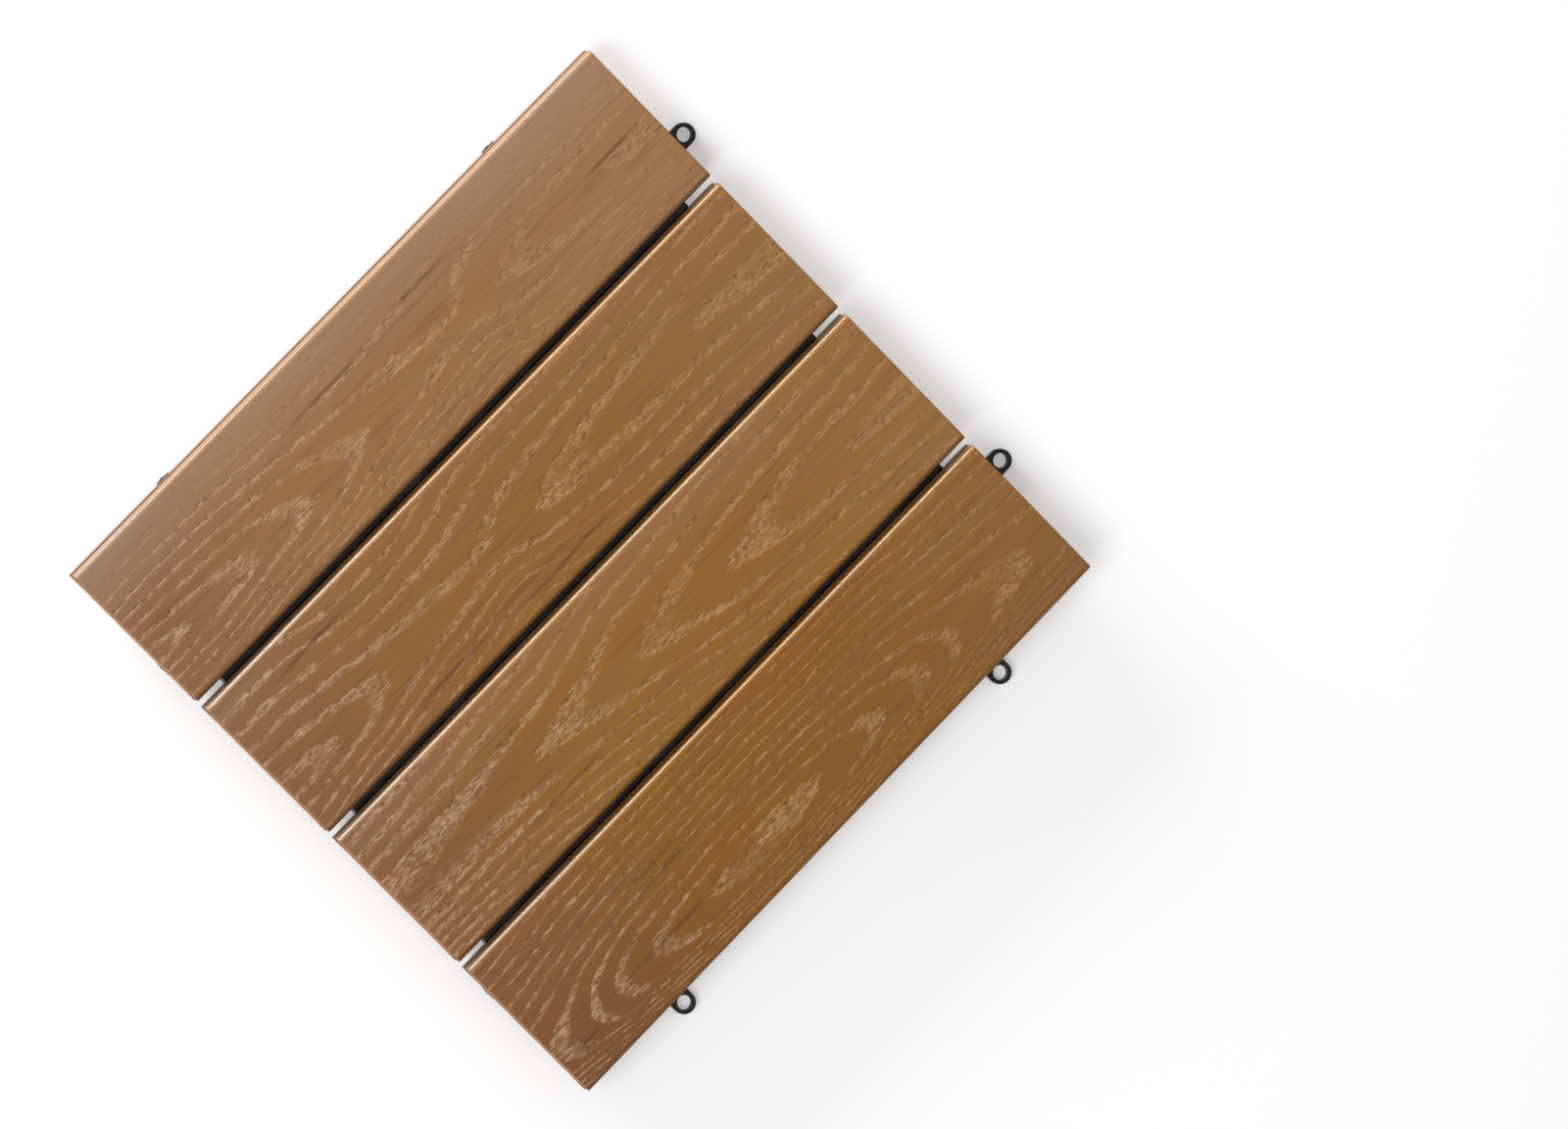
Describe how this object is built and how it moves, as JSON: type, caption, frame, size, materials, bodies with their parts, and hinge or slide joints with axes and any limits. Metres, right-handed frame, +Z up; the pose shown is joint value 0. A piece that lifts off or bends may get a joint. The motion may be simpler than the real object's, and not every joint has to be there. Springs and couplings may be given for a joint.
{
  "type": "interlocking deck tile",
  "caption": "Square outdoor floor tile: grooved wood-composite boards screwed to a moulded plastic lattice base with loops and pegs that hook onto the next tiles.",
  "frame": {"origin": "on the floor under the middle of the deck, at the underside of the middle foot", "axes": "+X along the boards towards the looped ends, +Y across the boards towards the pegged side, +Z up"},
  "size_m": [0.312, 0.312, 0.023],
  "materials": {
    "board_composite": "embossed wood grain, matt",
    "base_plastic": "fine moulded texture",
    "screw_steel": "plain stainless"
  },
  "bodies": {
    "root": {"deck_board_1": "board_composite", "deck_board_2": "board_composite", "deck_board_3": "board_composite", "deck_board_4": "board_composite", "moulded_base": "base_plastic", "board_screws": "screw_steel"}
  },
  "joints": []
}
